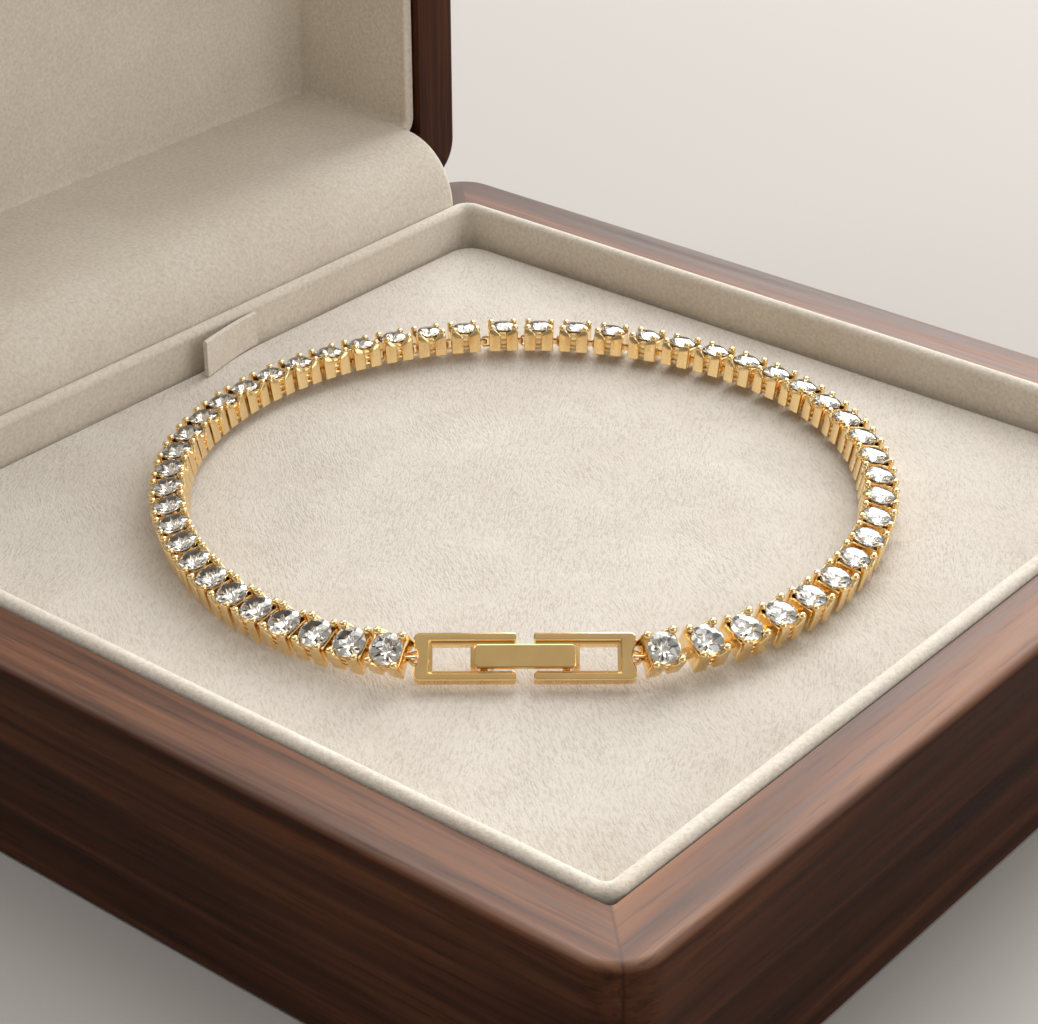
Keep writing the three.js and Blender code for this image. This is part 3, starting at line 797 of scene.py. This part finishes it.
def link_gaps():
    """Gap after each link, growing round the loop."""
    gaps = []
    for i in range(LINK_COUNT - 1):
        share = i / (LINK_COUNT - 2)
        slack = MEETING_SLACK if i == LINK_COUNT // 2 - 1 else 0
        gaps.append(FIRST_LINK_GAP + (LAST_LINK_GAP - FIRST_LINK_GAP) * share + slack)
    return gaps


def route_points(radius, steps=1200):
    """The route as points, clockwise seen from above, starting at the clasp's left end."""
    half_clasp = math.asin(END_STONE_SPAN / 2 / radius)
    arcs = [
        (radius * FRONT_SHARE, -math.pi / 2 - half_clasp, -math.pi),
        (radius * BACK_SHARE, math.pi, 0),
        (radius * FRONT_SHARE, 0, half_clasp - math.pi / 2),
    ]
    points = []
    for depth, start, end in arcs:
        for step in range(steps + 1):
            angle = start + (end - start) * step / steps
            points.append((radius * math.cos(angle), depth * math.sin(angle)))
    return np.array(points)


def route_length(radius):
    return float(np.linalg.norm(np.diff(route_points(radius), axis=0), axis=1).sum())


class Route:
    """The route whose length is the chain's, with the frames of the links on it."""

    def __init__(self):
        self.gaps = link_gaps()
        self.length = sum(gap + LINK_LENGTH for gap in self.gaps)
        low, high = END_STONE_SPAN / 2, self.length
        for _ in range(50):
            middle = (low + high) / 2
            if route_length(middle) < self.length:
                low = middle
            else:
                high = middle
        self.points = route_points(low)
        steps = np.linalg.norm(np.diff(self.points, axis=0), axis=1)
        self.travelled = np.concatenate(([0], np.cumsum(steps)))

    def at(self, distance):
        x = np.interp(distance, self.travelled, self.points[:, 0])
        y = np.interp(distance, self.travelled, self.points[:, 1])
        return Vector((x, y, 0))

    def link_frame(self, distance):
        step = 0.05
        along = (self.at(distance + step) - self.at(distance - step)).normalized()
        near = math.exp(-min(distance, self.length - distance) / LEAN_REACH)
        lean = math.radians(REST_LEAN + (CLASP_LEAN - REST_LEAN) * near)
        outward = Vector((-along.y, along.x, 0))
        origin = self.at(distance) - outward * GIRDLE_HEIGHT * math.sin(lean)
        origin.z = PAD_TOP + SEAT_GAP + LINK_WIDTH / 2 * math.sin(lean) + CLASP_LIFT * near
        return leaning_frame(origin, along, lean)

    def link_frames(self):
        frames = []
        distance = 0
        for i in range(LINK_COUNT):
            frames.append(self.link_frame(distance))
            if i < LINK_COUNT - 1:
                distance += self.gaps[i] + LINK_LENGTH
        return frames


def leaning_frame(origin, along, lean):
    """Placement that leans outward: x along the route, y outward and z up through the stone."""
    up = Vector((0, 0, 1))
    outward = up.cross(along)
    normal = up * math.cos(lean) + outward * math.sin(lean)
    across = outward * math.cos(lean) - up * math.sin(lean)
    matrix = Matrix((along, across, normal)).transposed().to_4x4()
    matrix.translation = origin
    return matrix


def clasp_frame(frames):
    """Clasp's placement: x from its left to its right end, y inward and up, z out of its face."""
    lean = math.radians(CLASP_LEAN)
    first, last = frames[0].translation, frames[-1].translation
    along = last - first
    along.z = 0
    along.normalize()
    inward = Vector((-along.y, along.x, 0))
    height = LUG_HEIGHT - FRAME_THICKNESS / 2
    origin = (first + last) / 2 - inward * (CLASP_SLIP * math.cos(lean) + height * math.sin(lean))
    origin.z = PAD_TOP + SEAT_GAP + FRAME_WIDTH / 2 * math.sin(lean)
    return leaning_frame(origin, -along, lean) @ Matrix.Rotation(math.pi, 4, "Z")


def on_pad():
    """Turns and moves the loop to its place on the pad."""
    place = Matrix.Translation((*LOOP_CENTRE, 0))
    return place @ Matrix.Rotation(math.radians(LOOP_TURN), 4, "Z")


# Stones and links


def brilliant():
    """Round brilliant: table, 8 stars, 8 kites, 16 upper facets, girdle and pavilion."""
    radius = STONE_DIAMETER / 2
    girdle = 0.05
    depth = 0.42 * STONE_DIAMETER
    star_reach = 0.78
    lower_reach = 0.24
    eighth = math.pi / 4
    lift = GIRDLE_HEIGHT

    def ring(reach, z, turn, count):
        return [
            (radius * reach * math.cos(turn + k * 2 * math.pi / count),
             radius * reach * math.sin(turn + k * 2 * math.pi / count), lift + z)
            for k in range(count)]

    star_share = (star_reach * math.cos(eighth / 2) - TABLE_SHARE) / (1 - TABLE_SHARE)
    lower_share = lower_reach * math.cos(eighth / 2)
    points = ring(TABLE_SHARE, CROWN_HEIGHT, 0, 8)
    points += ring(star_reach, girdle + (CROWN_HEIGHT - girdle) * (1 - star_share), eighth / 2, 8)
    points += ring(1, girdle, 0, 16)
    points += ring(1, -girdle, 0, 16)
    points += ring(lower_reach, -girdle - (depth - girdle) * (1 - lower_share), eighth / 2, 8)
    points.append((0, 0, lift - depth))
    star, upper, deep, culet = 8, 16, 48, 56
    faces = [tuple(range(8))]
    below = []
    for k in range(8):
        after = (k + 1) % 8
        before = (k + 7) % 8
        corner = upper + 2 * k
        between = upper + 2 * k + 1
        next_corner = upper + (2 * k + 2) % 16
        faces.append((k, star + k, after))
        faces.append((k, star + before, corner, star + k))
        faces.append((star + k, corner, between))
        faces.append((star + k, between, next_corner))
        faces.append((corner, corner + 16, between + 16, between))
        faces.append((between, between + 16, next_corner + 16, next_corner))
        below.append((deep + k, between + 16, corner + 16))
        below.append((deep + k, next_corner + 16, between + 16))
        below.append((culet, deep + k, corner + 16, deep + before))
    return points, faces + below, [1] * len(faces) + [2] * len(below)


def column(sign_x, sign_y):
    """Post at a corner of the setting, clear of the stone, narrowing towards its bead."""
    inner_x, inner_y = SLOT_WIDTH / 2, LINK_WIDTH / 2 - POST_DEPTH
    loops = []
    for z, from_slot, from_middle, from_outside in COLUMN_LEVELS:
        low = (inner_x + from_slot, inner_y + from_middle)
        high = (LINK_LENGTH / 2 - from_outside, LINK_WIDTH / 2 - from_outside)
        outline = rounded_rectangle(low, high, COLUMN_ROUND, 3)
        loops.append([(sign_x * x, sign_y * y, z) for x, y in outline])
    points, faces = loops_body(loops)
    if sign_x * sign_y < 0:
        faces = [tuple(reversed(face)) for face in faces]
    return points, faces


def make_link():
    """Setting of one link with its stone: material 0 gold, 1 crown, 2 facets below it."""
    link = Build()
    half_x, half_y = LINK_LENGTH / 2, LINK_WIDTH / 2
    for sign_x in (1, -1):
        for sign_y in (1, -1):
            link.add(*column(sign_x, sign_y))
            tip = (sign_x * (half_x - PRONG_INSET), sign_y * (half_y - PRONG_INSET), BEAD_HEIGHT)
            link.add(*ball(tip, PRONG_RADIUS, 14, 10, BEAD_FLATTEN))
    # Cup below the stone, whose seat runs just under the stone's facets
    link.add(*loops_body([
        [(r * math.cos(a), r * math.sin(a), z) for a in full_turn(24)] for r, z in CUP_SECTION]))
    for sign in (1, -1):
        # Plate towards the neighbouring link, then the rungs across a slot
        x0, x1 = sorted((sign * (half_x - PLATE_INNER), sign * (half_x - PLATE_OUTER)))
        link.add(*rounded_block(
            (x0, -PLATE_HALF_WIDTH, PLATE_LOW), (x1, PLATE_HALF_WIDTH, PLATE_HIGH), PLATE_ROUND))
        y0, y1 = sorted((sign * (half_y - RUNG_INNER), sign * (half_y - RUNG_OUTER)))
        for z in RUNG_HEIGHTS:
            link.add(*rounded_block(
                (-RUNG_HALF_LENGTH, y0, z), (RUNG_HALF_LENGTH, y1, z + RUNG_THICKNESS), RUNG_ROUND))
    link.add(*brilliant())
    return link


def lug(gap):
    """Lug with its hole, reaching from a link's end face at x = 0 into the gap."""
    radius = LUG_WIDTH / 2
    middle = gap - LUG_CLEARANCE - radius
    outer = [(-JOIN_DEPTH - radius, -radius), (middle, -radius)]
    steps = 10
    outer += [
        (middle + radius * math.cos(a), radius * math.sin(a))
        for a in (-math.pi / 2 + k / steps * math.pi for k in range(1, steps))]
    outer += [(middle, radius), (-JOIN_DEPTH - radius, radius)]
    count = len(outer)
    hole = []
    for x, y in outer:
        angle = math.atan2(y, x - middle)
        hole.append((middle + LUG_HOLE_RADIUS * math.cos(angle), LUG_HOLE_RADIUS * math.sin(angle)))
    low, high = LUG_HEIGHT - LUG_THICKNESS / 2, LUG_HEIGHT + LUG_THICKNESS / 2
    points = [(x, y, z) for z in (low, high) for loop in (outer, hole) for x, y in loop]
    faces = []
    for i in range(count):
        after = (i + 1) % count
        faces.append((i, count + i, count + after, after))
        faces.append((2 * count + i, 2 * count + after, 3 * count + after, 3 * count + i))
        faces.append((i, after, 2 * count + after, 2 * count + i))
        faces.append((count + i, 3 * count + i, 3 * count + after, count + after))
    return points, faces


def staple(pin_x, carrier_x, height, thickness):
    """Round wire staple through a lug, with both ends in the link that carries it."""
    half = STAPLE_WIRE / 2
    reach = thickness / 2 + LUG_CLEARANCE + half
    end = carrier_x + JOIN_DEPTH
    bend = STAPLE_BEND
    cut = bend * 0.3
    low, high = height - reach, height + reach
    path = [
        (end, 0, low), (pin_x + bend, 0, low), (pin_x + cut, 0, low + cut), (pin_x, 0, low + bend),
        (pin_x, 0, high - bend), (pin_x + cut, 0, high - cut), (pin_x + bend, 0, high),
        (end, 0, high)]
    return tube(path, half, 8, Vector((0, 1, 0)))


def make_run(name, node, first, last, route, frames, clasp_place, materials):
    """One string of links, fused with their stones, and its staple round the clasp's eyelet."""
    run = Build()
    link = make_link()
    loop_place = on_pad()
    pin_shift = LUG_HOLE_RADIUS - STAPLE_WIRE / 2 + JOINT_OVERLAP
    to_end = Matrix.Translation((LINK_LENGTH / 2, 0, 0))
    for i in range(first, last + 1):
        run.add(link.points, link.faces, link.kinds, loop_place @ frames[i])
        if i < LINK_COUNT - 1:
            run.add(*lug(route.gaps[i]), place=loop_place @ frames[i] @ to_end)
        if i > 0:
            gap = route.gaps[i - 1]
            shift = 0 if i == first else pin_shift
            pin_x = gap - LUG_CLEARANCE - LUG_WIDTH / 2 + shift
            run.add(*staple(pin_x, gap, LUG_HEIGHT, LUG_THICKNESS),
                    place=loop_place @ frames[i - 1] @ to_end)
    hook = staple(-EYELET_X, CLASP_LENGTH / 2 + END_GAP, FRAME_THICKNESS / 2, EYELET_THICKNESS)
    mirror = Matrix.Scale(-1, 4, (1, 0, 0)) if first == 0 else Matrix.Identity(4)
    run.add(*hook, place=clasp_place @ mirror)
    thing = new_object(name, run.points, run.faces, materials, run.kinds, 38, weighted=False)
    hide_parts(node)
    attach(thing, "box")


# Clasp


def frame_outline(inner_half, inner_end, inset):
    """Outline of a clasp frame: end bar with a scallop and two arms, drawn in by the inset."""
    half = FRAME_WIDTH / 2 - inset
    end = -CLASP_LENGTH / 2 + inset
    open_end = -CLASP_LENGTH / 2 + FRAME_LENGTH - inset
    radius = SCALLOP_RADIUS + inset
    offset = SCALLOP_OFFSET + inset
    bite = math.acos(offset / radius)
    turn = min(ARM_END_ROUND, (half - inner_half) * 0.45)
    arm_end = open_end - turn
    bar_end = end + CORNER_ROUND
    points = corner_arc(arm_end, turn - half, turn, -math.pi / 2)
    points += corner_arc(arm_end, -inner_half - turn, turn, 0)
    points += [(inner_end, -inner_half), (inner_end, inner_half)]
    points += corner_arc(arm_end, inner_half + turn, turn, -math.pi / 2)
    points += corner_arc(arm_end, half - turn, turn, 0)
    points += corner_arc(bar_end, half - CORNER_ROUND, CORNER_ROUND, math.pi / 2)
    for k in range(11):
        a = bite - k / 10 * 2 * bite
        points.append((end - offset + radius * math.cos(a), radius * math.sin(a)))
    points += corner_arc(bar_end, CORNER_ROUND - half, CORNER_ROUND, math.pi)
    return points


def bevelled_plate(outline, low, high, bevel, segments=3):
    """Points and faces of an extruded outline with rounded edges."""
    count = len(outline)
    points = [(x, y, z) for z in (low, high) for x, y in outline]
    faces = [tuple(reversed(range(count))), tuple(range(count, 2 * count))]
    faces += [(i, (i + 1) % count, count + (i + 1) % count, count + i) for i in range(count)]
    work = bmesh.new()
    vertices = [work.verts.new(p) for p in points]
    for face in faces:
        work.faces.new([vertices[i] for i in face])
    bmesh.ops.recalc_face_normals(work, faces=work.faces)
    work.normal_update()
    sharp = [e for e in work.edges if e.calc_face_angle(0) > math.radians(40)]
    bmesh.ops.bevel(work, geom=sharp, offset=bevel, segments=segments, profile=0.6,
                    affect="EDGES", clamp_overlap=True)
    work.verts.index_update()
    result = ([tuple(v.co) for v in work.verts], [tuple(v.index for v in f.verts) for f in work.faces])
    work.free()
    return result


def make_clasp_frame(name, node, sign, place, material):
    """Open frame with a bevelled rim, an inner ledge, a crossbar and an eyelet."""
    rim_inner = FRAME_WIDTH / 2 - ARM_WIDTH
    ledge_inner = rim_inner - LEDGE_WIDTH
    rim_end = -CLASP_LENGTH / 2 + END_BAR
    build = Build()
    build.add(*bevelled_plate(frame_outline(rim_inner, rim_end, 0), 0, FRAME_THICKNESS, CLASP_BEVEL))
    ledge = frame_outline(ledge_inner, rim_end + LEDGE_WIDTH, LEDGE_INSET)
    build.add(*bevelled_plate(ledge, LEDGE_LIFT, FRAME_THICKNESS - LEDGE_DROP, LEDGE_BEVEL))
    bar_y = rim_inner + BAR_OVERLAP
    bar = [(BAR_X, -bar_y, BAR_HEIGHT), (BAR_X, bar_y, BAR_HEIGHT)]
    build.add(*tube(bar, BAR_RADIUS, 16, Vector((1, 0, 0))))
    major = (EYELET_RADIUS + EYELET_SWELL + EYELET_HOLE) / 2
    minor = (EYELET_RADIUS + EYELET_SWELL - EYELET_HOLE) / 2
    loops = []
    for a in full_turn(24):
        loop = []
        for b in full_turn(10):
            reach = major + minor * math.cos(b)
            loop.append((
                EYELET_X + reach * math.cos(a), reach * math.sin(a),
                FRAME_THICKNESS / 2 + EYELET_THICKNESS / 2 * math.sin(b)))
        loops.append(loop)
    # The loops turn the other way round here, so each face is turned to look outward
    points, faces = loops_body(loops, ring=True)
    build.add(points, [(face[0], *reversed(face[1:])) for face in faces])
    mirror = Matrix.Scale(sign, 4, (1, 0, 0))
    points = [place @ mirror @ Vector(p) for p in build.points]
    faces = build.faces if sign > 0 else [tuple(reversed(f)) for f in build.faces]
    thing = new_object(name, points, faces, [material], sharp_degrees=30)
    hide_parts(node)
    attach(thing, "box")


def make_tongue(place, material):
    """Tongue plate with rounded corners and the legs at its ends."""
    low = BAR_HEIGHT + BAR_RADIUS + BAR_CLEARANCE
    leg_low = BAR_HEIGHT - LEG_DROP
    half_x, half_y = TONGUE_LENGTH / 2, TONGUE_WIDTH / 2
    outline = rounded_rectangle((-half_x, -half_y), (half_x, half_y), TONGUE_ROUND, 6)
    build = Build()
    build.add(*bevelled_plate(outline, low, low + TONGUE_THICKNESS, TONGUE_BEVEL, 4))
    leg_half = half_y - LEG_INSET
    leg_end = half_x + LEG_REACH
    offset = BAR_RADIUS + BAR_CLEARANCE
    legs = (
        (-leg_end, BAR_X - offset), (BAR_X + offset, BAR_X + offset + LEG_THICKNESS),
        (-BAR_X + offset, leg_end))
    for x0, x1 in legs:
        build.add(*rounded_block(
            (x0, -leg_half, leg_low), (x1, leg_half, low + TONGUE_THICKNESS / 2), LEG_ROUND))
    points = [place @ Vector(p) for p in build.points]
    thing = new_object("tongue_plate", points, build.faces, [material], sharp_degrees=30)
    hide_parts("clasp_tongue")
    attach(thing, "tongue")


# Stage


def make_stage():
    """Pale floor, camera and lights."""
    shader = Shader("floor_paint")
    cloud = shader.noise(shader.place(), 3, 2, 0.5)
    tone = shader.ramp(cloud, [(0.3, (0.41, 0.385, 0.36)), (0.7, (0.44, 0.415, 0.39))])
    material = shader.finish(Base_Color=tone, Roughness=0.7)
    size = FLOOR_REACH
    floor = new_object(
        "floor", [(-size, -size, 0), (size, -size, 0), (size, size, 0), (-size, size, 0)],
        [(0, 1, 2, 3)], [material], weighted=False)

    camera = bpy.data.cameras.new("camera")
    camera.lens = CAMERA_LENS
    camera.sensor_width = SENSOR_WIDTH
    camera.clip_start = 0.01
    eye = bpy.data.objects.new("camera", camera)
    right, up = Vector(CAMERA_RIGHT), Vector(CAMERA_UP)
    matrix = Matrix((right, up, right.cross(up))).transposed().to_4x4()
    matrix.translation = Vector(CAMERA_PLACE) * MM
    eye.matrix_world = matrix
    bpy.context.collection.objects.link(eye)
    bpy.context.scene.camera = eye

    target = Vector(STAGE_AIM) * MM
    view_right = Vector((0.635, -0.773, 0))
    view_away = Vector((0.772, 0.636, 0))
    # Place to the right, away and up in metres, then size, power and colour
    lamps = (
        ("overhead", (0.02, 0.36, 0.66), 0.45, 1.6, (1.0, 0.99, 0.97)),
        ("left_fill", (-0.36, 0.08, 0.44), 0.3, 0.8, (1.0, 0.99, 0.97)),
        ("window", (0.36, 0.80, 0.48), 0.75, 9.0, (1.0, 0.99, 0.97)),
        ("right_fill", (0.62, -0.35, 0.30), 0.5, 1.4, (1.0, 0.98, 0.95)),
    )
    for name, (right_by, away_by, up_by), size, power, colour in lamps:
        lamp = bpy.data.lights.new(name, "AREA")
        lamp.energy = power
        lamp.size = size
        lamp.color = colour
        holder = bpy.data.objects.new(name, lamp)
        place = view_right * right_by + view_away * away_by + Vector((0, 0, up_by))
        holder.location = target + place
        holder.rotation_euler = (-place).to_track_quat("-Z", "Y").to_euler()
        bpy.context.collection.objects.link(holder)

    world = bpy.data.worlds.new("studio")
    world.use_nodes = True
    sky = Nodes(world.node_tree)
    brightest = view_away * 0.55 + view_right * 0.25 + Vector((0, 0, 0.8))
    direction = sky.node("ShaderNodeTexCoord", output="Generated")
    bright = sky.node(
        "ShaderNodeVectorMath", {0: direction, 1: brightest.normalized()}, "Value",
        operation="DOT_PRODUCT")
    share = sky.node("ShaderNodeMath", {0: bright, 1: 0.5, 2: 0.5}, operation="MULTIPLY_ADD")
    tone = sky.ramp(share, [
        (0.1, (0.15, 0.14, 0.125)), (0.5, (0.34, 0.33, 0.31)), (0.75, (0.5, 0.49, 0.47)),
        (0.93, (1.0, 0.98, 0.95)),
    ])
    sky.fill(world.node_tree.nodes["Background"], {"Color": tone, "Strength": 0.85})
    bpy.context.scene.world = world
    bpy.context.scene.view_settings.view_transform = "Standard"


def make_all():
    make_stage()
    base_walnut = walnut("walnut_base")
    lid_centre = (0, 0, HINGE.z + HALF_OUTER)
    lid_walnut = walnut("walnut_lid", "Z", lid_centre)
    cloth = suede("suede")
    metal = gold("polished_gold", 0.12, (0.90, 0.60, 0.25), (0.95, 0.66, 0.29))
    set_gold = gold("setting_gold", 0.15, (0.94, 0.69, 0.34), (0.98, 0.75, 0.41))
    link_materials = [set_gold, stone("stone_crown"), stone_depth("stone_depth")]

    make_base_wood(base_walnut)
    make_lid_wood(lid_walnut)
    make_base_lining(cloth)
    make_lid_lining(cloth)
    make_pad(plush("plush"))
    make_hinge_cloth(cloth)
    make_tab(cloth)
    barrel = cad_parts["hinge_barrel"]
    barrel.data.materials.clear()
    barrel.data.materials.append(brass("satin_brass"))

    route = Route()
    frames = route.link_frames()
    clasp_place = on_pad() @ clasp_frame(frames)
    half = LINK_COUNT // 2
    make_run("left_links", "link_run_left", 0, half - 1, route, frames, clasp_place, link_materials)
    make_run("right_links", "link_run_right", half, LINK_COUNT - 1, route, frames, clasp_place,
             link_materials)
    make_clasp_frame("left_frame", "clasp_frame_left", 1, clasp_place, metal)
    make_clasp_frame("right_frame", "clasp_frame_right", -1, clasp_place, metal)
    make_tongue(clasp_place, metal)


make_all()
